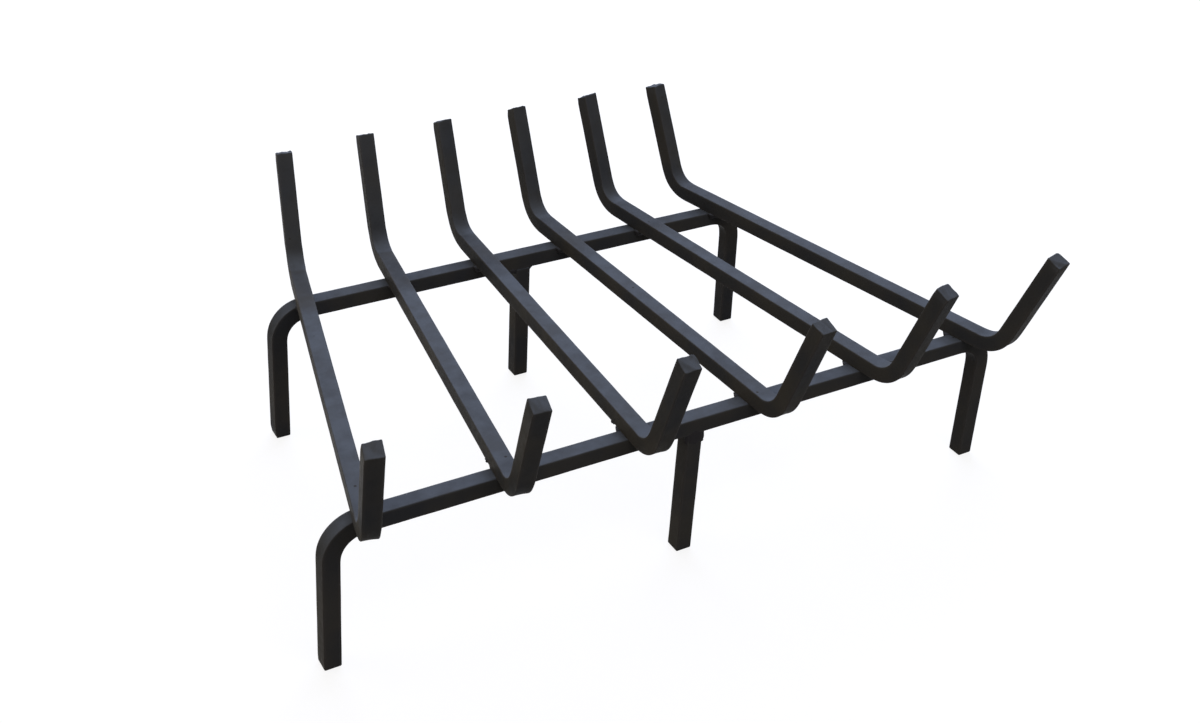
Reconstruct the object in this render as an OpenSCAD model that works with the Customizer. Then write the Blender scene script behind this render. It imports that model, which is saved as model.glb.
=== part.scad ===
// Log grate for a fireplace: six bent square bars welded across two bent cross bars.
// X runs across the hearth, the wide open front faces -Y, and Z is up from the floor.

/* [Bar] */
// Side of the square bar that every piece is cut from
bar = 12.7; // [9.5:0.1:16]
// Inside radius of every bend
bend_inner_r = 17; // [14:0.5:24]

/* [Deck] */
// Height of the deck that the log bars lie on, above the floor
deck_h = 120; // [90:1:160]
// Distance between the two cross bars, centre to centre
cross_gap = 268; // [200:1:330]
// Distance between the outer log bars at the front cross bar
front_spread = 507; // [420:1:600]
// Distance between the outer log bars at the rear cross bar
rear_spread = 384; // [320:1:480]
// Outward lean of the four corner legs, in degrees
leg_splay = 2; // [0:0.5:6]

/* [Log bars] */
// Number of log bars, evenly spaced
log_bars = 6; // [4:1:8]
// Straight run of a log bar in front of the front cross bar, from its centre
front_overhang = 18; // [12:1:40]
// Straight run of a log bar behind the rear cross bar, from its centre
rear_overhang = 28; // [12:1:50]
// Slope of the front arms above the floor, in degrees
front_arm_angle = 71; // [50:1:85]
// Slope of the rear arms above the floor, in degrees
rear_arm_angle = 67; // [50:1:85]
// Straight length of each arm above its bend
arm_length = 79; // [40:1:120]

/* [Welds] */
// Side of the weld fillets under the log bars
bar_weld = 6; // [3:0.5:8]
// How far a fillet runs past each side of its log bar
bar_weld_overrun = 2; // [0:0.5:5]
// Side of the weld fillets beside the middle legs
leg_weld = 4; // [2:0.5:6]

/* [Hidden] */
$fn = 96;
log_bar_names = [for (n = [1 : log_bars]) str("log_bar_", n)];

// Straight steps that each bend's curve is drawn in
bend_steps = 16;
// Degrees between the points on a weld bead's rounded end
bead_step = 18;
// Radius of every bend at the bar's centreline, and at its outer and inner faces
bend_r = bend_inner_r + bar / 2;
bend_radii = [bend_r + bar / 2, bend_inner_r];
// How far the outermost arm reaches past its cross bar
front_reach = max([for (n = [1 : log_bars]) arm_reach(n, front_overhang, front_arm_angle)]);
rear_reach = max([for (n = [1 : log_bars]) arm_reach(n, rear_overhang, rear_arm_angle)]);
// The origin lies midway between the foremost and the rearmost arm tip
front_y = front_reach - (front_reach + cross_gap + rear_reach) / 2;
rear_y = front_y + cross_gap;

// Place of log bar n across a cross bar, counted from the left
function bar_x(n, spread) = ((n - 1) / (log_bars - 1) - 0.5) * spread;

// Angle in plan that log bar n makes with the depth of the grate
function fan_angle(n) = atan2(bar_x(n, front_spread) - bar_x(n, rear_spread), cross_gap);

// Horizontal distance from a cross bar's centre to the tip of an arm of log bar n
function arm_reach(n, overhang, angle) =
    overhang + bar / 2 * sin(abs(fan_angle(n)))
    + ((bend_r + bar / 2) * sin(angle) + arm_length * cos(angle)) * cos(fan_angle(n));

// Side view of a bend that starts at the origin along +X: its outer or inner curve, of radius r
function bend_curve(r, angle) =
    [for (step = [0 : bend_steps]) let (a = angle * step / bend_steps) [r * sin(a), bend_r - r * cos(a)]];

// The same curve with a straight of the given length after it
function arm_curve(r, angle, straight) =
    let (curve = bend_curve(r, angle))
    concat(curve, [curve[bend_steps] + straight * [cos(angle), sin(angle)]]);

// The same curve with a straight that ends level, at a height above the origin
function leg_curve(r, angle, height) =
    arm_curve(r, angle, (height - bend_curve(r, angle)[bend_steps].y) / sin(angle));

function reverse(list) = [for (k = [len(list) - 1 : -1 : 0]) list[k]];

// Outline of a bent bar from the outer and inner curves of its two ends, at x = start and x = end
function bar_outline(start, end, start_curves, end_curves) = concat(
    [for (p = end_curves[0]) [end + p.x, p.y]],
    reverse([for (p = end_curves[1]) [end + p.x, p.y]]),
    [for (p = start_curves[1]) [start - p.x, p.y]],
    reverse([for (p = start_curves[0]) [start - p.x, p.y]])
);

// Log bar n: its middle lies on both cross bars and both ends turn up to hold the logs
module log_bar(n) {
    fan = fan_angle(n);
    front = [for (r = bend_radii) arm_curve(r, front_arm_angle, arm_length)];
    rear = [for (r = bend_radii) arm_curve(r, rear_arm_angle, arm_length)];
    color("#3b4047")
        translate([bar_x(n, front_spread), front_y, deck_h + bar / 2])
        rotate([90, 0, 90 + fan])
        linear_extrude(bar, center = true)
        polygon(bar_outline(-front_overhang / cos(fan), (cross_gap + rear_overhang) / cos(fan), front, rear));
}

// Cross bar whose two ends bend down into the corner legs, which are cut level at the floor
module cross_bar(spread, y) {
    axis_h = deck_h - bar / 2;
    leg = [for (r = bend_radii) leg_curve(r, 90 - leg_splay, axis_h)];
    color("#33363b")
        translate([0, y, axis_h])
        rotate([-90, 0, 0])
        linear_extrude(bar, center = true)
        polygon(bar_outline(-spread / 2, spread / 2, leg, leg));
}

// Straight leg under the middle of a cross bar
module mid_leg(y) {
    color("#303236")
        translate([-bar / 2, y - bar / 2, 0])
        cube([bar, bar, deck_h - bar]);
}

// Fillet weld along X, under a ceiling at z = 0 and against a wall at y = 0: a quarter of a round
// bead with rounded ends
module weld_bead(side, length) {
    taper = min(side, length / 2);
    end_curve = [for (a = [0 : bead_step : 90]) [side * sin(a), length / 2 - taper * (1 - cos(a))]];
    rotate([0, 90, 0])
        rotate_extrude(angle = 90)
        polygon(concat(end_curve, reverse([for (p = end_curve) [p.x, -p.y]])));
}

// Fillets under all log bars, on the side of a cross bar that looks into the grate
module bar_welds(spread, y, inward) {
    wall_y = y + inward * bar / 2;
    color("#2b2c2e")
    for (n = [1 : log_bars]) {
        fan = fan_angle(n);
        drift = -tan(fan) * inward * (bar + bar_weld) / 2;
        translate([bar_x(n, spread) + drift, wall_y, deck_h])
            rotate(inward > 0 ? 0 : 180)
            weld_bead(bar_weld, bar / cos(fan) + 2 * bar_weld_overrun);
    }
}

// Fillets on both sides of a middle leg, up against the underside of its cross bar
module mid_leg_welds(y) {
    for (side = [-1, 1])
        translate([side * bar / 2, y, deck_h - bar])
            rotate(-90 * side)
            weld_bead(leg_weld, bar);
}

module front_cross_bar() cross_bar(front_spread, front_y);

module rear_cross_bar() cross_bar(rear_spread, rear_y);

module front_mid_leg() mid_leg(front_y);

module rear_mid_leg() mid_leg(rear_y);

module front_bar_welds() bar_welds(front_spread, front_y, 1);

module rear_bar_welds() bar_welds(rear_spread, rear_y, -1);

module leg_welds() {
    color("#2b2c2e") {
        mid_leg_welds(front_y);
        mid_leg_welds(rear_y);
    }
}

for (n = [1 : log_bars])
    log_bar(n);
front_cross_bar();
rear_cross_bar();
front_mid_leg();
rear_mid_leg();
front_bar_welds();
rear_bar_welds();
leg_welds();
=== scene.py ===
"""Looks of a welded log grate: square bars bent cold, welded by hand and painted satin black.

Every piece is a surface on a grid. A bar is a rounded square carried along a bent path, and a weld
bead is a quarter of a round bar with ripples. The shapes are worked out in millimetres and degrees,
and mesh_object turns them into Blender's metres. Materials, lamps and the floor are in metres.
"""
import math

import bpy
import numpy as np
from mathutils import Matrix, Vector


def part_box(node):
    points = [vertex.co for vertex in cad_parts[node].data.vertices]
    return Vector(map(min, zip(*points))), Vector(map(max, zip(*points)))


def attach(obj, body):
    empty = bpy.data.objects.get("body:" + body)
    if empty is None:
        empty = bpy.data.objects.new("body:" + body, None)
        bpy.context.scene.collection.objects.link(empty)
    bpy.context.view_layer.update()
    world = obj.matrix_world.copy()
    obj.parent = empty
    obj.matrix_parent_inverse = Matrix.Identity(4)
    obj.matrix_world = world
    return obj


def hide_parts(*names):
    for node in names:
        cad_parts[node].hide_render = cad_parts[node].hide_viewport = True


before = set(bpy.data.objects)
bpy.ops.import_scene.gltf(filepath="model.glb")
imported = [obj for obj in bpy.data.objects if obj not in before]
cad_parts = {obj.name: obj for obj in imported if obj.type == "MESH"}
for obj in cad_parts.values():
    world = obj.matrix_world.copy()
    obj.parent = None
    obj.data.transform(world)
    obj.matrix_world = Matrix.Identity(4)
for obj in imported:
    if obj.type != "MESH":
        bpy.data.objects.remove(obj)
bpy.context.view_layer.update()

MM = 0.001              # metres in a millimetre

# The same design sizes as the part's source
BAR = 12.7              # side of the square bar
BEND_INNER_R = 17       # inside radius of every bend
DECK_H = 120            # height of the deck that the log bars lie on
CROSS_GAP = 268         # distance between the cross bars
FRONT_SPREAD = 507      # distance between the outer log bars at the front cross bar
REAR_SPREAD = 384       # the same at the rear cross bar
LEG_SPLAY = 2           # outward lean of the corner legs
LOG_BARS = 6
FRONT_OVERHANG = 18     # straight run of a log bar in front of the front cross bar
REAR_OVERHANG = 28      # the same behind the rear cross bar
FRONT_ARM_ANGLE = 71    # slope of the front arms above the floor
REAR_ARM_ANGLE = 67
ARM_LENGTH = 79         # straight length of an arm above its bend
BAR_WELD = 6            # side of the fillets under the log bars
BAR_WELD_OVERRUN = 2    # how far such a fillet runs past each side of its log bar
LEG_WELD = 4            # side of the fillets beside the middle legs

HALF = BAR / 2
BEND_R = BEND_INNER_R + HALF
FRONT_Y = np.mean([corner[1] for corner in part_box("front_cross_bar")]) / MM
REAR_Y = np.mean([corner[1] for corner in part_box("rear_cross_bar")]) / MM

# How finely a bar is drawn
STATION_STEP = 1.6      # distance between the sections along a bar
FINE_STEPS = 8          # steps between two sections when the path is summed up
EASE_SAMPLES = 9        # headings averaged where a bend eases in and out
CUT_EDGE_RINGS = 5      # rings round the edge of a cut
CUT_FACE_RINGS = 7      # rings across the face of a cut
CUT_CLEARANCE = 0.5     # least distance from those rings to the next section
FLAT_POINTS = 8         # points across each flat side of a section
CORNER_POINTS = 5       # points round each rolled corner

# How a bar comes from the mill and out of the bender
EDGE_R = 0.75           # rolled corner of hot-rolled square bar
CORNER_FADE = 8         # power of the fall from a rolled corner to the middle of a side
ROLLING_WAVE = 0.05     # how far a rolled face wanders in and out
ROLLING_WAVES = (23, 41, 67, 110)    # lengths of that wander
BEND_EASE = 2.5         # length over which a cold bend starts and stops
BEND_WIDENING = 0.055   # share by which a bend's inner face widens and its outer face narrows
BEND_BULGE = 0.2        # how far the middle of the inner face swells
BEND_HOLLOW = 0.35      # how far the middle of the outer face sinks

# How the shear and the grinder leave the ends
TIP_EDGE_R = 0.7        # edge of a sheared arm tip, softened by the paint
FRONT_TIP_ROLL = 1.7    # most that the shear rolls the edge of a front tip over
REAR_TIP_ROLL = 0.7     # the same for a rear tip
ROLL_FROM = 0.2         # share of the half side, towards the blade, from which the edge rolls over
BURR_FROM = 0.6         # share of the half side, away from the blade, from which the burr stands
BURR_RAGGEDNESS = 0.7   # share by which the burr's height varies
CUT_WAVES = (23, 37, 58)    # lengths of the waves on a cut face, in sevenths of a millimetre
CUT_RAMP = 5.0          # length over which a slanted cut blends into the bar
PULL_LENGTH = 8.0       # length over which the shear pulls a side face in before it cuts
REAR_CUT_SHORT = {1: 2.8, 6: 1.3}    # log bars whose rear arms were cut a little short, and by how much
FOOT_EDGE_R = 1.4       # edge of a foot, dressed on the grinder

# Painted shadow of the rear arms, in front of the rear bends
PAINTED_SHADOW_LENGTH = 76     # stretch in front of a rear bend that the painted shadow of the rear arms covers
PAINTED_SHADOW_RAMP = 20       # length over which the painted shadow begins
PAINTED_SHADOW_END = 5         # length over which it ends, at the bend
REAR_CROSS_PAINTED_SHADOW = 0.35    # how dark the painted shadow on the rear cross bar is, from 0 to 1


# ---------------------------------------------------------------- surfaces on a grid

def smoothstep(t):
    """0 below 0, 1 above 1, and three t squared less two t cubed between."""
    t = np.clip(t, 0, 1)
    return t * t * (3 - 2 * t)


def waves(along, around, lengths, seed):
    """Mean of a few cosine waves over (along, around), each with its own length, direction and phase."""
    rng = np.random.default_rng(seed)
    total = np.zeros(np.broadcast(along, around).shape)
    for length in lengths:
        turn, phase = rng.uniform(-0.6, 0.6), rng.uniform(0, 2 * math.pi)
        total += np.cos(2 * math.pi * (along + turn * around) / length + phase)
    return total / len(lengths)


def mesh_object(name, grid, start_pole, end_pole, attributes):
    """A closed mesh of rings (stations x points round a ring x 3), each end drawn in to a pole."""
    stations, ring, _ = grid.shape
    here = np.arange(stations * ring).reshape(stations, ring)
    nxt = np.roll(here, -1, axis=1)
    quads = np.stack([here[:-1], nxt[:-1], nxt[1:], here[1:]], axis=-1).reshape(-1, 4)
    first, last = stations * ring, stations * ring + 1
    start_fan = np.stack([nxt[0], here[0], np.full(ring, first)], axis=-1)
    end_fan = np.stack([here[-1], nxt[-1], np.full(ring, last)], axis=-1)
    points = np.concatenate([grid.reshape(-1, 3), [start_pole], [end_pole]])
    mesh = bpy.data.meshes.new(name)
    mesh.from_pydata((points * MM).tolist(), [], quads.tolist() + start_fan.tolist() + end_fan.tolist())
    mesh.shade_smooth()
    for key, values in attributes.items():
        layer = mesh.attributes.new(key, "FLOAT", "POINT")
        layer.data.foreach_set("value", np.append(values.reshape(-1), [values[0].mean(), values[-1].mean()]))
    piece = bpy.data.objects.new(name, mesh)
    bpy.context.scene.collection.objects.link(piece)
    return piece


def joined(name, parts):
    """Several closed meshes as the separate islands of one piece."""
    bpy.ops.object.select_all(action="DESELECT")
    for part in parts:
        part.select_set(True)
    bpy.context.view_layer.objects.active = parts[0]
    bpy.ops.object.join()
    parts[0].name = parts[0].data.name = name
    return parts[0]


# ---------------------------------------------------------------- bent bars

def rolled_section():
    """Rounded square: across (a) and up (b) from the bar's centre, and how near a corner each point is.

    Each side is a run of even steps, and each corner a quarter circle of radius EDGE_R.
    """
    inner = HALF - EDGE_R
    run = np.linspace(-inner, inner, FLAT_POINTS)
    quarter = np.linspace(0, math.pi / 2, CORNER_POINTS + 2)[1:-1]
    a = np.concatenate([np.full(FLAT_POINTS, HALF), inner + EDGE_R * np.cos(quarter)])
    b = np.concatenate([run, inner + EDGE_R * np.sin(quarter)])
    corner = np.concatenate([np.clip(np.abs(run) / inner, 0, 1) ** CORNER_FADE, np.ones(CORNER_POINTS)])
    turns = np.arange(4) * math.pi / 2
    across = (np.outer(np.cos(turns), a) - np.outer(np.sin(turns), b)).ravel()
    up = (np.outer(np.sin(turns), a) + np.outer(np.cos(turns), b)).ravel()
    return across, up, np.tile(corner, 4)


def bent_path(first_straight, first_angle, flat, last_angle, last_straight):
    """Centreline that comes down at first_angle, runs level from x = 0 to x = flat and turns up again.

    Its heading grows evenly round each bend, so a bend is an arc of radius BEND_R. The heading is
    averaged over BEND_EASE, as a bar bent cold eases into its bend, and the line is its running sum.
    """
    arcs = [BEND_R * math.radians(first_angle), BEND_R * math.radians(last_angle)]
    marks = np.cumsum([0, first_straight, arcs[0], flat, arcs[1], last_straight])
    headings = np.radians([-first_angle, -first_angle, 0, 0, last_angle, last_angle])
    count = int(round(marks[-1] / STATION_STEP)) + 1
    along = np.linspace(0, marks[-1], count)
    fine = np.linspace(0, marks[-1], FINE_STEPS * (count - 1) + 1)
    shifts = np.linspace(-BEND_EASE, BEND_EASE, EASE_SAMPLES)[:, None]
    eased = np.interp(fine + shifts, marks, headings).mean(axis=0)
    step = fine[1]

    def running_sum(values):
        return np.concatenate([[0], np.cumsum((values[1:] + values[:-1]) / 2)]) * step

    x, y = running_sum(np.cos(eased)), running_sum(np.sin(eased))
    middle = np.interp((marks[2] + marks[3]) / 2, fine, np.arange(fine.size))
    x += flat / 2 - np.interp(middle, np.arange(fine.size), x)
    y -= np.interp(middle, np.arange(fine.size), y)
    bend = np.gradient(eased, step) * BEND_R
    return along, x[::FINE_STEPS], y[::FINE_STEPS], eased[::FINE_STEPS], bend[::FINE_STEPS]


def bar_surface(path, ends, seed):
    """Square bar along a path in its own plane: (stations x ring x (along, across, up)) and its attributes.

    A section lies square to the path. Round a bend the stretched outer face grows narrower and hollow
    and the pressed inner face wider and fuller. Near an end the section slides along the path by a
    slant, so the cut is a plane. On the side where the blade went in, the face is pulled in and the
    edge rolls over by a smooth step, and the far edge keeps a burr. The last rings round the cut edge
    and close the end face, which is dished and rough.
    """
    along, x, y, heading, bend = path
    across, up, corner = rolled_section()
    length = along[-1]
    quarter = np.linspace(0, math.pi / 2, CUT_EDGE_RINGS)
    inward = np.linspace(0, 1, CUT_FACE_RINGS + 2)[1:-1]
    caps = []
    for end in ends:
        rounded = end["edge"] * (1 - np.cos(quarter))
        face = end["edge"] + (HALF - end["edge"]) * inward
        depth = np.concatenate([end["edge"] * (1 - np.sin(quarter)), np.zeros(CUT_FACE_RINGS)])
        caps.append((np.concatenate([rounded, face]), depth))
    clear = [end["edge"] + CUT_CLEARANCE for end in ends]
    body = along[(along > clear[0]) & (along < length - clear[1])]
    place = np.concatenate([caps[0][1][::-1], body, length - caps[1][1]])
    shrink = np.concatenate([caps[0][0][::-1], np.zeros(body.size), caps[1][0]])
    px, py, turn, curl = (np.interp(place, along, v) for v in (x, y, heading, bend))

    size = (1 - shrink / HALF)[:, None]
    face_up = up / HALF
    face_across = across / HALF
    a = across * size
    b = up * size
    # Cold bend: the inner face looks along +up where the path turns up
    squeeze = curl[:, None]
    a = a * (1 + BEND_WIDENING * squeeze * face_up)
    inner_side = np.clip(face_up, 0, 1) * (1 - face_across ** 2)
    outer_side = np.clip(-face_up, 0, 1) * (1 - face_across ** 2)
    b = b + BEND_BULGE * squeeze * inner_side + BEND_HOLLOW * squeeze * outer_side
    # Rolled faces wander slightly
    girth = np.arange(across.size) * (4 * BAR / across.size)
    swell = ROLLING_WAVE * waves(place[:, None], girth, ROLLING_WAVES, seed)
    a = a * (1 + swell / HALF * size)
    b = b * (1 + swell / HALF * size)

    slide = np.zeros(a.shape)
    for end, sign, distance in ((ends[0], -1, place), (ends[1], 1, length - place)):
        near = 1 - smoothstep(distance / CUT_RAMP)
        blade_a, blade_b = math.cos(end["blade"]), math.sin(end["blade"])
        to_blade = (a * blade_a + b * blade_b) / HALF
        pull = end["pull"] * (1 - smoothstep(distance / PULL_LENGTH))[:, None] * np.clip(to_blade, 0, 1)
        a, b = a - pull * blade_a, b - pull * blade_b
        ragged = waves(7 * a, 7 * b, CUT_WAVES, seed + 5 + sign)
        inside = np.clip(1 - (np.maximum(np.abs(a), np.abs(b)) / HALF) ** 2, 0, 1)
        roll = end["roll"] * smoothstep((to_blade - ROLL_FROM) / (1 - ROLL_FROM))
        burr = end["burr"] * smoothstep((-to_blade - BURR_FROM) / (1 - BURR_FROM))
        burr = burr * (1 + BURR_RAGGEDNESS * ragged)
        cut = end["slant_up"] * b + end["slant_across"] * a + end["rough"] * ragged
        slide += sign * near[:, None] * (cut - end["dish"] * inside - roll + burr)
    cos_t, sin_t = np.cos(turn)[:, None], np.sin(turn)[:, None]
    forward, upward = px[:, None] + slide * cos_t - b * sin_t, py[:, None] + slide * sin_t + b * cos_t
    grid = np.stack([forward, a, upward], axis=-1)

    on_cut = np.clip(shrink / TIP_EDGE_R, 0, 1)[:, None]
    attributes = {
        "rolled_corner": corner * (1 - on_cut),
        "cut_face": smoothstep(on_cut) * np.ones(corner.size),
        "along_bar": np.broadcast_to(place[:, None] * MM, a.shape).copy(),
        "around_bar": np.broadcast_to(girth * MM, a.shape).copy(),
    }
    return grid, attributes


def sheared_end(seed, most_roll):
    """A sheared cut: a slight slant, a shallow dish, a rolled edge towards the blade and a burr behind.

    The slants are slopes, the blade's direction is an angle round the bar from its left side in
    radians, and the rest are millimetres. A sharper blade rolls the edge over less.
    """
    rng = np.random.default_rng(seed)
    return {
        "edge": TIP_EDGE_R,
        "slant_up": rng.uniform(-0.07, 0.07),
        "slant_across": rng.uniform(-0.05, 0.05),
        "blade": rng.uniform(-0.7, 0.7),
        "pull": rng.uniform(0.3, 1.1),
        "roll": rng.uniform(0.4, 1.0) * most_roll,
        "burr": rng.uniform(0.1, 0.5),
        "dish": rng.uniform(0.1, 0.5),
        "rough": 0.3,
    }


def level_foot(splay, neck=0.0):
    """A foot cut level with the floor: the slant undoes the leg's lean.

    A neck is how far the cut pulled in the face that looks out of the grate.
    """
    plain = dict.fromkeys(["slant_across", "roll", "burr", "dish", "rough"], 0.0)
    return {**plain, "edge": FOOT_EDGE_R, "slant_up": -math.tan(math.radians(splay)),
            "blade": -math.pi / 2, "pull": neck}


def placed_bar(node, surface, origin, direction, upward):
    """The bar's own (along, across, up) turned and moved to its place, and no lower than the floor."""
    grid, attributes = surface
    forward = np.array(direction)
    sideways = np.cross(upward, forward)
    grid = origin + grid @ np.stack([forward, sideways, np.array(upward, float)])
    grid[..., 2] = np.maximum(grid[..., 2], 0)
    return mesh_object(f"{node}_painted", grid, grid[0].mean(axis=0), grid[-1].mean(axis=0), attributes)


def bar_x(number, spread):
    """Place of a log bar across a cross bar: even steps over the spread, centred."""
    return ((number - 1) / (LOG_BARS - 1) - 0.5) * spread


def fan_angle(number):
    """Angle in plan between a log bar and the depth of the grate, in radians."""
    return math.atan2(bar_x(number, FRONT_SPREAD) - bar_x(number, REAR_SPREAD), CROSS_GAP)


def log_bar(number):
    """A log bar: level over both cross bars, with an arm turned up at each end.

    A painted shadow of the rear arms, as cast by light from behind on the right, takes part of the
    painted sheen off the top in front of each rear bend. It is a smooth step up and down along the bar,
    and fades from the left bar to the right one, which has no arm beside it.
    """
    fan = fan_angle(number)
    stretch = 1 / math.cos(fan)
    flat = FRONT_OVERHANG * stretch + CROSS_GAP * stretch + REAR_OVERHANG * stretch
    rear_arm = ARM_LENGTH - REAR_CUT_SHORT.get(number, 0)
    path = bent_path(ARM_LENGTH, FRONT_ARM_ANGLE, flat, REAR_ARM_ANGLE, rear_arm)
    ends = (sheared_end(10 * number, FRONT_TIP_ROLL), sheared_end(10 * number + 1, REAR_TIP_ROLL))
    grid, attributes = bar_surface(path, ends, number)
    rear_bend = ARM_LENGTH + BEND_R * math.radians(FRONT_ARM_ANGLE) + flat
    # Painted shadow of the rear arms on the top in front of the rear bend
    before_bend = rear_bend - attributes["along_bar"] / MM
    begun = smoothstep((PAINTED_SHADOW_LENGTH - before_bend) / PAINTED_SHADOW_RAMP)
    painted_shadow = begun * smoothstep(before_bend / PAINTED_SHADOW_END)
    attributes["painted_shadow_mask"] = painted_shadow * math.sqrt(1 - (number - 1) / LOG_BARS)
    direction = (-math.sin(fan), math.cos(fan), 0)
    start = np.array([bar_x(number, FRONT_SPREAD), FRONT_Y, DECK_H + HALF])
    start = start - FRONT_OVERHANG * stretch * np.array(direction)
    return placed_bar(f"log_bar_{number}", (grid, attributes), start, direction, (0, 0, 1))


def cross_bar(node, spread, y, neck, painted_shadow, seed):
    """A cross bar: level under the log bars, with both ends bent down to the floor as legs."""
    turn = 90 - LEG_SPLAY
    angle = math.radians(turn)
    fall = DECK_H - HALF - BEND_R * (1 - math.cos(angle))
    leg = fall / math.sin(angle)
    path = bent_path(leg, turn, spread, turn, leg)
    grid, attributes = bar_surface(path, (level_foot(LEG_SPLAY, neck), level_foot(LEG_SPLAY)), seed)
    # An even painted shadow over the cross bar
    attributes["painted_shadow_mask"] = np.full(grid.shape[:2], painted_shadow)
    start = np.array([-spread / 2, y, DECK_H - HALF])
    return placed_bar(node, (grid, attributes), start, (1, 0, 0), (0, 0, -1))


def mid_leg(node, y, seed):
    """A straight leg from the underside of a cross bar to the floor."""
    height = DECK_H - BAR
    count = int(round(height / STATION_STEP)) + 1
    along = np.linspace(0, height, count)
    path = (along, along, np.zeros(count), np.zeros(count), np.zeros(count))
    surface = bar_surface(path, (level_foot(0), level_foot(0)), seed)
    return placed_bar(node, surface, np.array([0, y, height]), (0, 0, -1), (0, 1, 0))


# ---------------------------------------------------------------- weld beads

BEAD_STEP = 0.4         # distance between the sections along a bead
BEAD_ARC_POINTS = 17    # points round its face
BEAD_BACK = 0.8         # how far its hidden back reaches into the bars
BEAD_END = 0.6          # length over which its ends are drawn in, as a share of its reach
BEAD_FILL = 0.97        # share of its full height that it reaches on average
LUMP_HEIGHT = 0.06      # share by which lumps change that
LUMP_WAVES = (6.5, 9, 13)    # lengths of the lumps
RIPPLE_PITCH = 1.9      # distance between the ripples of a hand-laid bead
RIPPLE_DEPTH = 0.14
RIPPLE_BOW = 0.9        # how far a ripple's crest lags at the wall and the ceiling
RIPPLE_DRIFT = 0.5      # how far the crests wander along the bead
DRIFT_RATE = 0.9        # radians of that wander in a millimetre

SHORT_BEADS = (1, 2)    # log bars whose beads stop near their sides
SHORT_OVERRUN = 0.3     # how far such a bead runs past each side of its log bar
BAR_BEAD_HOLLOW = 0.3

DROP_RINGS = 7          # rings of a drop between its poles
DROP_POINTS = 12        # points round a ring
DROP_RISE = 0.6         # how far a thrown drop stands out, as a share of its size
SPATTER_EACH = 4        # drops thrown round each weld
# Least and most of what is drawn for a thrown drop
SPATTER_SIZE = (0.35, 0.75)
SPATTER_STRETCH = (0.8, 1.3)    # its two radii along the face, as shares of its size
SPATTER_BESIDE = (9.5, 17)      # on a cross bar: distance from the middle of the log bar
SPATTER_BELOW = (2, 10)         # and distance below the deck
SPATTER_INWARD = (1, 13)        # on a log bar: distance from the cross bar's face
SPATTER_ABOVE = (2, 9)          # and distance above the deck
# Log bar, distance behind the front cross bar and radius of each drop on a log bar's lower edge
EDGE_DROPS = ((2, 14.0, 1.2), (2, 16.5, 0.8), (3, 15.2, 0.9), (3, 17.2, 1.2))
EDGE_DROP_SINK = (0.4, 0.3)     # how far in from that edge, and above it, the centre of a drop lies
EDGE_DROP_LENGTH = 1.2          # its radius along the bar, as a share of the others


def bead(out, down, length, hollow, seed):
    """Fillet weld along X, under a ceiling at z = 0 and against a wall at y = 0.

    It reaches out along the ceiling and down the wall. Its face is a quarter ellipse times a power of
    cosine plus sine: power 0 is full, 1 flat and more is hollow. It is drawn in to each end as a
    quarter ellipse. Ripples are waves along the bead whose crests curve back at the wall and the
    ceiling.
    """
    t = np.linspace(-1, 1, int(length / BEAD_STEP))[:, None]
    angle = np.linspace(0, math.pi / 2, BEAD_ARC_POINTS)[None, :]
    past = np.clip((np.abs(t) - 1) * length / 2 / (BEAD_END * out) + 1, 0, 1)
    # The ends keep a little width, so that no ring shrinks to a point
    taper = np.sqrt(np.clip(1 - past ** 2, 0.02, 1))
    flatten = (np.cos(angle) + np.sin(angle)) ** -hollow
    middle = (angle / (math.pi / 4) - 1) ** 2
    along = t * length / 2
    drift = RIPPLE_DRIFT * np.cos(along * DRIFT_RATE + seed)
    ripple = np.cos(2 * math.pi * (along + RIPPLE_BOW * middle + drift) / RIPPLE_PITCH)
    lumps = waves(along, angle * down, LUMP_WAVES, seed)
    swell = taper * (flatten * (BEAD_FILL + LUMP_HEIGHT * lumps) + RIPPLE_DEPTH * ripple / (out + down) * 2)
    y, z = out * swell * np.cos(angle), -down * swell * np.sin(angle)
    shrink = np.clip(taper, 0.3, 1)
    back_y = np.array([-BEAD_BACK, -BEAD_BACK, out / 2]) * shrink
    back_z = np.array([-down / 2, BEAD_BACK, BEAD_BACK]) * shrink
    ring_y, ring_z = np.concatenate([y, back_y], axis=1), np.concatenate([z, back_z], axis=1)
    return np.stack([np.broadcast_to(along, ring_y.shape), ring_y, ring_z], axis=-1)[::-1]


def drop(centre, radii, seed):
    """A drop of weld metal: an ellipsoid whose radius swells and sinks by a few waves.

    Two of them run from pole to pole, and one goes twice round and fades at the poles.
    """
    u = np.linspace(0, math.pi, DROP_RINGS + 2)[1:-1, None]
    v = np.linspace(0, 2 * math.pi, DROP_POINTS + 1)[None, :-1]
    uneven = 1 + 0.1 * waves(u * 4, v * 0, (5, 8), seed) + 0.08 * np.cos(2 * v + seed) * np.sin(u)
    ball = np.stack([np.cos(u) + 0 * v, np.sin(u) * np.cos(v), np.sin(u) * np.sin(v)], axis=-1)
    return (np.array(centre) + ball * uneven[..., None] * np.array(radii))[::-1]


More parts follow.
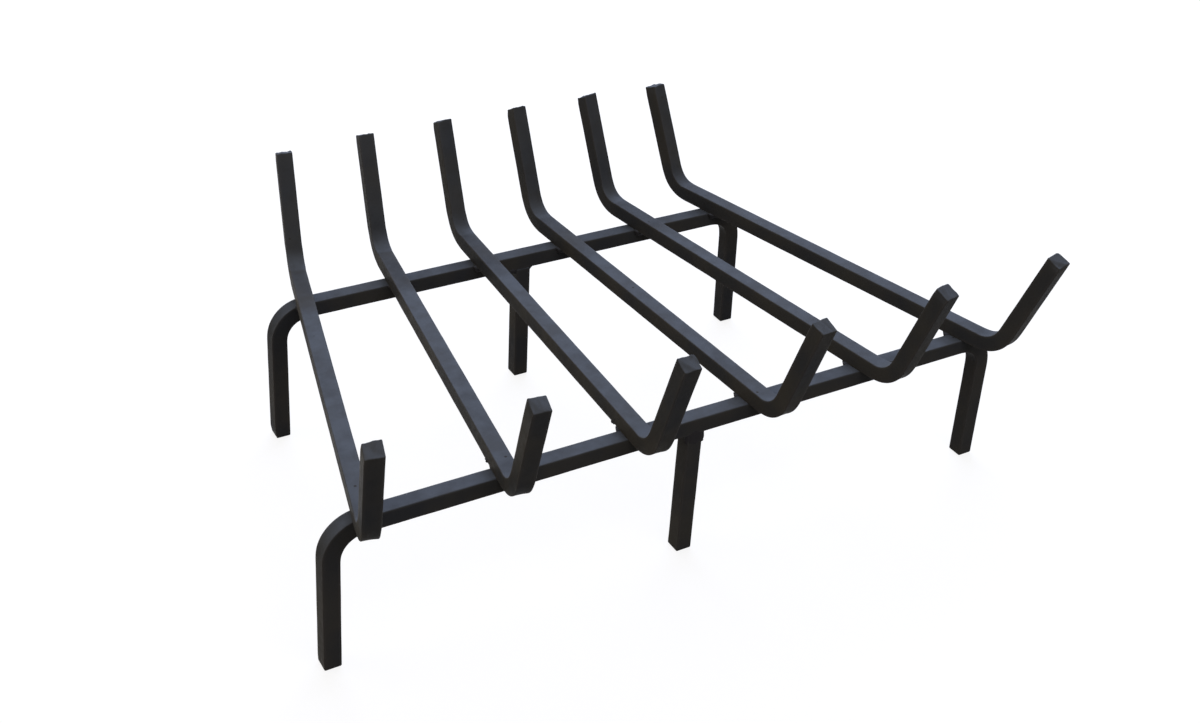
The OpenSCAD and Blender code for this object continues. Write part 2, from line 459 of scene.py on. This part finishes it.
def spatter(spread, y, inward, seed):
    """Drops thrown on the cross bar's inner face and on the sides of the log bars, beside the welds."""
    rng = np.random.default_rng(seed)
    drops = []
    for number in range(1, LOG_BARS + 1):
        fan = fan_angle(number)
        # The outer bars lie where the cross bar starts to bend down, so nothing lands beyond them
        sides = {1: [1], LOG_BARS: [-1]}.get(number, [-1, 1])
        for _ in range(SPATTER_EACH):
            size = rng.uniform(*SPATTER_SIZE)
            flat, side = rng.uniform(*SPATTER_STRETCH, 2) * size, rng.choice(sides)
            rise = DROP_RISE * size
            on_cross_bar = rng.random() < 0.5
            if on_cross_bar:
                x = bar_x(number, spread) + side * rng.uniform(*SPATTER_BESIDE)
                centre = (x, y + inward * HALF, DECK_H - rng.uniform(*SPATTER_BELOW))
                radii = (flat[0], rise, flat[1])
            else:
                reach = HALF + rng.uniform(*SPATTER_INWARD)
                x = bar_x(number, spread) - math.tan(fan) * inward * reach + side * HALF / math.cos(fan)
                centre = (x, y + inward * reach, DECK_H + rng.uniform(*SPATTER_ABOVE))
                radii = (rise, flat[0], flat[1])
            drops.append(drop(centre, radii, seed + len(drops)))
    return drops


def edge_drops(seed):
    """Larger drops that hang on the lower left edge of log bars 2 and 3, behind the front cross bar."""
    drops = []
    for number, reach, size in EDGE_DROPS:
        fan = fan_angle(number)
        x = bar_x(number, FRONT_SPREAD) - math.tan(fan) * reach - HALF / math.cos(fan) + EDGE_DROP_SINK[0]
        centre = (x, FRONT_Y + reach, DECK_H + EDGE_DROP_SINK[1])
        drops.append(drop(centre, (size, EDGE_DROP_LENGTH * size, size), seed + len(drops)))
    return drops


def turned(grid, origin, turn):
    """A surface turned about Z and moved to its place."""
    c, s = math.cos(turn), math.sin(turn)
    return np.array(origin) + grid @ np.array([[c, s, 0], [-s, c, 0], [0, 0, 1]])


def weld_piece(node, surfaces):
    """Closed surfaces as the islands of one piece."""
    return joined(f"{node}_painted", [
        mesh_object(f"{node}_{count}", grid, grid[0].mean(axis=0), grid[-1].mean(axis=0), {})
        for count, grid in enumerate(surfaces)])


def bar_beads(node, spread, y, inward, seed):
    """A bead under each log bar, on the side of its cross bar that looks into the grate, and spatter."""
    beads = []
    for number in range(1, LOG_BARS + 1):
        fan = fan_angle(number)
        shift = -math.tan(fan) * inward * (BAR + BAR_WELD) / 2
        overrun = SHORT_OVERRUN if number in SHORT_BEADS else BAR_WELD_OVERRUN
        length = BAR / math.cos(fan) + 2 * overrun
        surface = bead(BAR_WELD, BAR_WELD, length, BAR_BEAD_HOLLOW, seed + number)
        origin = (bar_x(number, spread) + shift, y + inward * HALF, DECK_H)
        beads.append(turned(surface, origin, 0 if inward > 0 else math.pi))
    if inward > 0:
        beads += edge_drops(seed)
    return weld_piece(node, beads + spatter(spread, y, inward, seed))


def leg_beads(node, seed):
    """A bead on each side of both middle legs, up against the underside of the cross bar.

    The front leg's right bead ran down the leg and ends in a drop, and a flush weld spreads over its
    face. The rear leg's left bead is full, with a lump in front, and its right one is hollow.
    """
    # Cross bar, side of the leg, reach out and down, and hollowness
    shapes = [(FRONT_Y, -1, 2.2, 4.4, 0.6), (FRONT_Y, 1, 1.5, 8.2, -0.3),
              (REAR_Y, -1, 5.0, 5.0, 0.3), (REAR_Y, 1, LEG_WELD, LEG_WELD, 1.5)]
    top = DECK_H - BAR
    beads = [turned(bead(out, down, BAR, hollow, seed + count), (side * HALF, y, top), -side * math.pi / 2)
             for count, (y, side, out, down, hollow) in enumerate(shapes)]
    run_end = drop((HALF + 0.6, FRONT_Y - HALF + 1.2, top - 7.6), (1.3, 1.3, 1.3), seed)
    flush = drop((0, FRONT_Y - HALF + 0.8, top - 2.5), (8.0, 1.15, 9.0), seed + 1)
    lump = drop((-HALF - 4, REAR_Y - HALF + 1.8, top - 0.3), (4.8, 2.2, 2.6), seed + 2)
    return weld_piece(node, beads + [run_end, flush, lump])


# ---------------------------------------------------------------- materials

def linear(hex_colour):
    """An sRGB hex colour as linear red, green, blue and alpha."""
    channels = np.array([int(hex_colour[k:k + 2], 16) for k in (1, 3, 5)]) / 255
    low = channels / 12.92
    high = ((channels + 0.055) / 1.055) ** 2.4
    return (*np.where(channels <= 0.04045, low, high), 1.0)


def add(tree, kind, inputs=None, **settings):
    """One more node in a tree, with its settings, and each input set to a value or linked to a socket."""
    node = tree.nodes.new(kind)
    for key, value in settings.items():
        setattr(node, key, value)
    for key, value in (inputs or {}).items():
        if isinstance(value, bpy.types.NodeSocket):
            tree.links.new(value, node.inputs[key])
        else:
            node.inputs[key].default_value = value
    return node


def new_material(name):
    """An empty node material."""
    material = bpy.data.materials.new(name)
    material.use_nodes = True
    material.node_tree.nodes.clear()
    return material, material.node_tree


# Sizes of the paint's patterns, in metres
CLOUD_SIZE, PATCH_SIZE, SCALE_SIZE, PEBBLE_SIZE = 0.040, 0.014, 0.005, 0.0009
STREAK_LENGTH, STREAK_WIDTH = 0.070, 0.002
PIT_CELL = 0.020        # there is at most one pit in each cell of this size
PIT_R = (0.0005, 0.001)          # radius of a pit's floor and of its rim
DEEP_PIT_R = (0.0006, 0.0012)    # the same for a deep pit
# Deep pits on top of log bars 1, 2 and 4, in millimetres across and behind the front cross bar
DEEP_PITS = ((-251.8, 11.7), (-150.5, -2.1), (47.4, -11.4))

# Noise stays near a half, so this stretch of it is spread over a pattern's whole range
NOISE_LOW, NOISE_HIGH = 0.35, 0.65
THINNEST_PAINTED_SHEEN = 0.62    # least painted sheen in a patch, as a share of the most
PAINTED_SHADOW_SHARE = 0.6    # share of the painted sheen that a full painted shadow takes off
CORNER_WEAR_AND_HIGHLIGHT = 0.4       # how far a rolled corner takes the colour of wear and painted highlight
CUT_ROUGHNESS = 0.12    # what a cut face adds to the roughness
CORNER_ROUGHNESS = -0.05     # what a rolled corner adds to it
SCALE_ROUGHNESS = (-0.06, 0.08)    # what the mill scale adds to it, from low to high
PEBBLE_RELIEF, STREAK_RELIEF = 0.5, 0.6    # heights of the pebble and the streaks against the scale's
BUMP_STRENGTH = 0.6
GLOSS_LEVEL = 0.01      # the dry film hardly mirrors anything


def satin_black_paint(name, film, warm, painted_top_sheen, worn_and_highlight, roughness, grain_height):
    """High-temperature stove paint sprayed over hot-rolled steel.

    The film is a fine coat, satin and nearly black, with warmer clouds. It follows the mill scale under it,
    which gives streaks along the bar, a fine pebble under a millimetre and sparse pits. The faces that
    look up are painted lighter and bluer, in patches: a painted sheen that stands in for the light from
    above. It is left out of the pits, and a painted shadow of the rear arms takes part of it off. Over the
    rolled corners the film is smoother and its colour lighter and browner, partly wear and partly a
    painted highlight for the gloss on the rounded edges. Cut faces are rougher.
    """
    material, tree = new_material(name)
    place = add(tree, "ShaderNodeTexCoord").outputs["Object"]
    corner, cut, along, around, painted_shadow = (
        add(tree, "ShaderNodeAttribute", attribute_name=key).outputs["Fac"]
        for key in ("rolled_corner", "cut_face", "along_bar", "around_bar", "painted_shadow_mask"))

    # A noise scale is the number of its features in a metre
    clouds, patches, scale, pebble = (
        add(tree, "ShaderNodeTexNoise", {"Vector": place, "Scale": 1 / size, "Detail": detail}).outputs["Fac"]
        for size, detail in ((CLOUD_SIZE, 2.0), (PATCH_SIZE, 4.0), (SCALE_SIZE, 5.0), (PEBBLE_SIZE, 3.0)))
    run = add(tree, "ShaderNodeMath", {0: along, 1: 1 / STREAK_LENGTH}, operation="MULTIPLY").outputs[0]
    girth = add(tree, "ShaderNodeMath", {0: around, 1: 1 / STREAK_WIDTH}, operation="MULTIPLY").outputs[0]
    unrolled = add(tree, "ShaderNodeCombineXYZ", {"X": run, "Y": girth}).outputs[0]
    streaks = add(tree, "ShaderNodeTexNoise", {
        "Vector": unrolled, "Scale": 1.0, "Detail": 2.0}).outputs["Fac"]

    # Pits: 1 on a pit's floor and 0 from its rim outwards
    cells = add(tree, "ShaderNodeTexVoronoi", {"Vector": place, "Scale": 1 / PIT_CELL}).outputs["Distance"]
    pits = add(tree, "ShaderNodeMapRange", {
        "Value": cells, "From Min": PIT_R[0] / PIT_CELL, "From Max": PIT_R[1] / PIT_CELL,
        "To Min": 1.0, "To Max": 0.0}).outputs["Result"]
    for x, behind in DEEP_PITS:
        centre = (x * MM, (FRONT_Y + behind) * MM, (DECK_H + BAR) * MM)
        away = add(tree, "ShaderNodeVectorMath", {0: place, 1: centre}, operation="DISTANCE")
        deep = add(tree, "ShaderNodeMapRange", {
            "Value": away.outputs["Value"], "From Min": DEEP_PIT_R[0], "From Max": DEEP_PIT_R[1],
            "To Min": 1.0, "To Max": 0.0}).outputs["Result"]
        pits = add(tree, "ShaderNodeMath", {0: pits, 1: deep}, operation="MAXIMUM").outputs[0]

    # Painted sheen: the faces that look up are painted lighter, standing in for the light from above. None on
    # faces that look sideways or down, nor in the pits
    normal = add(tree, "ShaderNodeNewGeometry").outputs["Normal"]
    facing = add(tree, "ShaderNodeSeparateXYZ", {"Vector": normal}).outputs["Z"]
    upward = add(tree, "ShaderNodeMapRange", {"Value": facing, "From Min": 0.1, "From Max": 1.0})
    patchy = add(tree, "ShaderNodeMapRange", {
        "Value": patches, "From Min": NOISE_LOW, "From Max": NOISE_HIGH,
        "To Min": THINNEST_PAINTED_SHEEN, "To Max": 1.0}).outputs["Result"]
    painted_sheen = add(tree, "ShaderNodeMath", {0: upward.outputs["Result"], 1: patchy}, operation="MULTIPLY")
    # The painted shadow of the rear arms takes part of the painted sheen off
    unshadowed = add(tree, "ShaderNodeMath", {0: painted_shadow, 1: -PAINTED_SHADOW_SHARE, 2: 1.0},
                  operation="MULTIPLY_ADD")
    painted_sheen = add(tree, "ShaderNodeMath", {0: painted_sheen.outputs[0], 1: unshadowed.outputs[0]},
                  operation="MULTIPLY").outputs[0]
    painted_sheen = add(tree, "ShaderNodeMath", {0: painted_sheen, 1: pits}, operation="SUBTRACT", use_clamp=True)

    tone = add(tree, "ShaderNodeMapRange", {"Value": clouds, "From Min": NOISE_LOW, "From Max": NOISE_HIGH})
    dark = add(tree, "ShaderNodeMix", {
        "Factor": tone.outputs["Result"], "A": linear(film), "B": linear(warm)}, data_type="RGBA")
    # Rolled corners: a lighter, browner colour, partly wear of the film and partly a painted highlight for
    # the gloss on the rounded edges
    edge_wear_and_highlight = add(tree, "ShaderNodeMath", {0: corner, 1: CORNER_WEAR_AND_HIGHLIGHT}, operation="MULTIPLY").outputs[0]
    dark = add(tree, "ShaderNodeMix", {
        "Factor": edge_wear_and_highlight, "A": dark.outputs["Result"], "B": linear(worn_and_highlight)}, data_type="RGBA")
    # Painted sheen: the faces that look up take the lighter, bluer colour
    colour = add(tree, "ShaderNodeMix", {
        "Factor": painted_sheen.outputs[0], "A": dark.outputs["Result"], "B": linear(painted_top_sheen)}, data_type="RGBA")

    rough = add(tree, "ShaderNodeMapRange", {
        "Value": scale, "From Min": 0.3, "From Max": 0.7, "To Min": roughness + SCALE_ROUGHNESS[0],
        "To Max": roughness + SCALE_ROUGHNESS[1]}).outputs["Result"]
    for where, extra in ((cut, CUT_ROUGHNESS), (corner, CORNER_ROUGHNESS)):
        rough = add(tree, "ShaderNodeMath", {0: where, 1: extra, 2: rough},
                    operation="MULTIPLY_ADD").outputs[0]
    height = scale
    for pattern, share in ((pebble, PEBBLE_RELIEF), (streaks, STREAK_RELIEF), (pits, -1.0)):
        height = add(tree, "ShaderNodeMath", {0: pattern, 1: share, 2: height},
                     operation="MULTIPLY_ADD").outputs[0]
    bump = add(tree, "ShaderNodeBump", {
        "Height": height, "Strength": BUMP_STRENGTH, "Distance": grain_height})
    shader = add(tree, "ShaderNodeBsdfPrincipled", {
        "Base Color": colour.outputs["Result"], "Roughness": rough, "Specular IOR Level": GLOSS_LEVEL,
        "Normal": bump.outputs["Normal"]})
    add(tree, "ShaderNodeOutputMaterial", {"Surface": shader.outputs[0]})
    return material


def seen(tree):
    """1 for a ray from the camera, off gloss or through glass, and 0 for one that only carries light."""
    rays = add(tree, "ShaderNodeLightPath").outputs
    total = rays["Is Camera Ray"]
    for kind in ("Is Glossy Ray", "Is Transmission Ray"):
        total = add(tree, "ShaderNodeMath", {0: total, 1: rays[kind]},
                    operation="ADD", use_clamp=True).outputs[0]
    return total


GLOW_NEAR = 0.86        # the floor's own white near the grate, to which the lamps add the rest
GLOW_FROM, GLOW_TO = 0.5, 2.5    # distances over which it grows to full white


def studio_floor():
    """Matt white paper: white to the camera and to gloss, with the grate's own soft shadow on it.

    Its glow grows from GLOW_NEAR round the grate to full white further out, where no lamp reaches it.
    """
    material, tree = new_material("matt_white_studio_floor")
    place = add(tree, "ShaderNodeTexCoord").outputs["Object"]
    distance = add(tree, "ShaderNodeVectorMath", {0: place}, operation="LENGTH").outputs["Value"]
    strength = add(tree, "ShaderNodeMapRange", {
        "Value": distance, "From Min": GLOW_FROM, "From Max": GLOW_TO,
        "To Min": GLOW_NEAR, "To Max": 1.0}).outputs["Result"]
    glow = add(tree, "ShaderNodeEmission", {"Color": linear("#ffffff"), "Strength": strength})
    lit = add(tree, "ShaderNodeBsdfDiffuse", {"Color": linear("#7a7a7a")})
    both = add(tree, "ShaderNodeAddShader", {0: glow.outputs[0], 1: lit.outputs[0]})
    choice = add(tree, "ShaderNodeMixShader", {0: seen(tree), 1: lit.outputs[0], 2: both.outputs[0]})
    add(tree, "ShaderNodeOutputMaterial", {"Surface": choice.outputs[0]})
    return material


# ---------------------------------------------------------------- the grate

bars = [log_bar(number) for number in range(1, LOG_BARS + 1)] + [
    cross_bar("front_cross_bar", FRONT_SPREAD, FRONT_Y, neck=0.3, painted_shadow=0.0, seed=31),
    # The rear cross bar's top takes an even painted shadow
    cross_bar("rear_cross_bar", REAR_SPREAD, REAR_Y, neck=1.1, painted_shadow=REAR_CROSS_PAINTED_SHADOW, seed=32),
    mid_leg("front_mid_leg", FRONT_Y, seed=33),
    mid_leg("rear_mid_leg", REAR_Y, seed=34),
]
welds = [
    bar_beads("front_bar_welds", FRONT_SPREAD, FRONT_Y, inward=1, seed=40),
    bar_beads("rear_bar_welds", REAR_SPREAD, REAR_Y, inward=-1, seed=50),
    leg_beads("leg_welds", seed=60),
]
# In each paint the fourth colour is a painted sheen on the faces that look up, and the last is partly wear
# and partly a painted highlight on the rolled corners
bar_paint = satin_black_paint(
    "satin_black_stove_paint_on_bar", film="#363738", warm="#413f3a", painted_top_sheen="#575c61", worn_and_highlight="#494642",
    roughness=0.5, grain_height=0.00015)
weld_paint = satin_black_paint(
    "satin_black_stove_paint_on_weld", film="#343333", warm="#3a3838", painted_top_sheen="#4c4e52", worn_and_highlight="#3a3735",
    roughness=0.55, grain_height=0.0002)

# Each piece stands for the node that it is named after and rides with the grate
for pieces, slot, paint in ((bars, "bar_paint", bar_paint), (welds, "weld_paint", weld_paint)):
    for piece in pieces:
        piece.data.materials.append(paint)
        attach(piece, "root")
        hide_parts(piece.name.removesuffix("_painted"))


# ---------------------------------------------------------------- studio

FLOOR_HALF_WIDTH = 12
FILL_STRENGTH = 0.25    # even light from all round

# Name, place, width, height, radiance and colour of each lamp. They all face the origin
SOFTBOXES = (
    ("rear_softbox", (0.95, 1.75, 1.35), 2.4, 1.4, 5.4, "#c8d6fb"),
    ("overhead_softbox", (0.3, 0.7, 1.85), 1.3, 1.3, 2.0, "#d8e2ff"),
    ("front_softbox", (-0.1, -1.25, 1.5), 1.6, 1.0, 2.3, "#e4e7fa"),
    ("left_softbox", (-1.5, 0.65, 0.5), 1.2, 0.8, 2.2, "#fff5ec"),
)

# Where the photograph was taken from, worked out from the bars' edges in it
IMAGE_WIDTH = 1200      # pixels
FOCAL_PIXELS = 1502
CAMERA_PLACE = (-524.2, -861.7, 727.2)    # millimetres
CAMERA_YAW = 31.81      # degrees to the right of +Y
CAMERA_PITCH = 32.59    # degrees down
CAMERA_ROLL = -3.48
OFF_CENTRE_PIXELS = (3.3, 1.9)    # how far the lens's axis lies from the middle of the image


def floor_plane(half_width):
    """A square of floor at z = 0."""
    mesh = bpy.data.meshes.new("studio_floor")
    corners = [(-half_width, -half_width, 0), (half_width, -half_width, 0),
               (half_width, half_width, 0), (-half_width, half_width, 0)]
    mesh.from_pydata(corners, [], [(0, 1, 2, 3)])
    floor = bpy.data.objects.new("studio_floor", mesh)
    floor.data.materials.append(studio_floor())
    bpy.context.scene.collection.objects.link(floor)


def softbox(name, centre, width, height, radiance, colour):
    """A flat lamp that faces the origin. Its power is radiance times pi times its area."""
    lamp = bpy.data.lights.new(name, "AREA")
    lamp.shape = "RECTANGLE"
    lamp.size, lamp.size_y = width, height
    lamp.energy = radiance * math.pi * width * height
    lamp.color = linear(colour)[:3]
    holder = bpy.data.objects.new(name, lamp)
    bpy.context.scene.collection.objects.link(holder)
    turn = (-Vector(centre)).to_track_quat("-Z", "Y").to_matrix().to_4x4()
    holder.matrix_world = Matrix.Translation(centre) @ turn


def studio_world():
    """White to the camera and to gloss, and a dim even fill for everything else."""
    world = bpy.data.worlds.new("studio_world")
    world.use_nodes = True
    tree = world.node_tree
    tree.nodes.clear()
    fill = add(tree, "ShaderNodeBackground", {"Color": linear("#fff0dc"), "Strength": FILL_STRENGTH})
    white = add(tree, "ShaderNodeBackground", {"Color": linear("#ffffff"), "Strength": 1.0})
    choice = add(tree, "ShaderNodeMixShader", {0: seen(tree), 1: fill.outputs[0], 2: white.outputs[0]})
    add(tree, "ShaderNodeOutputWorld", {"Surface": choice.outputs[0]})
    bpy.context.scene.world = world


def camera():
    """A camera that looks along yaw and pitch and is then rolled about its own axis."""
    yaw, pitch, roll = (math.radians(v) for v in (CAMERA_YAW, CAMERA_PITCH, CAMERA_ROLL))
    forward = Vector((math.sin(yaw) * math.cos(pitch), math.cos(yaw) * math.cos(pitch), -math.sin(pitch)))
    level_right = Vector((math.cos(yaw), -math.sin(yaw), 0))
    level_down = forward.cross(level_right)
    right = math.cos(roll) * level_right + math.sin(roll) * level_down
    down = -math.sin(roll) * level_right + math.cos(roll) * level_down
    view = bpy.data.cameras.new("photo_camera")
    view.sensor_width = 36
    view.lens = FOCAL_PIXELS / IMAGE_WIDTH * view.sensor_width
    view.shift_x = -OFF_CENTRE_PIXELS[0] / IMAGE_WIDTH
    view.shift_y = OFF_CENTRE_PIXELS[1] / IMAGE_WIDTH
    holder = bpy.data.objects.new("photo_camera", view)
    turn = Matrix((right, -down, -forward)).transposed().to_4x4()
    holder.matrix_world = Matrix.Translation(Vector(CAMERA_PLACE) * MM) @ turn
    bpy.context.scene.collection.objects.link(holder)
    bpy.context.scene.camera = holder


floor_plane(FLOOR_HALF_WIDTH)
studio_world()
for box in SOFTBOXES:
    softbox(*box)
camera()

bpy.context.scene.view_settings.view_transform = "Standard"
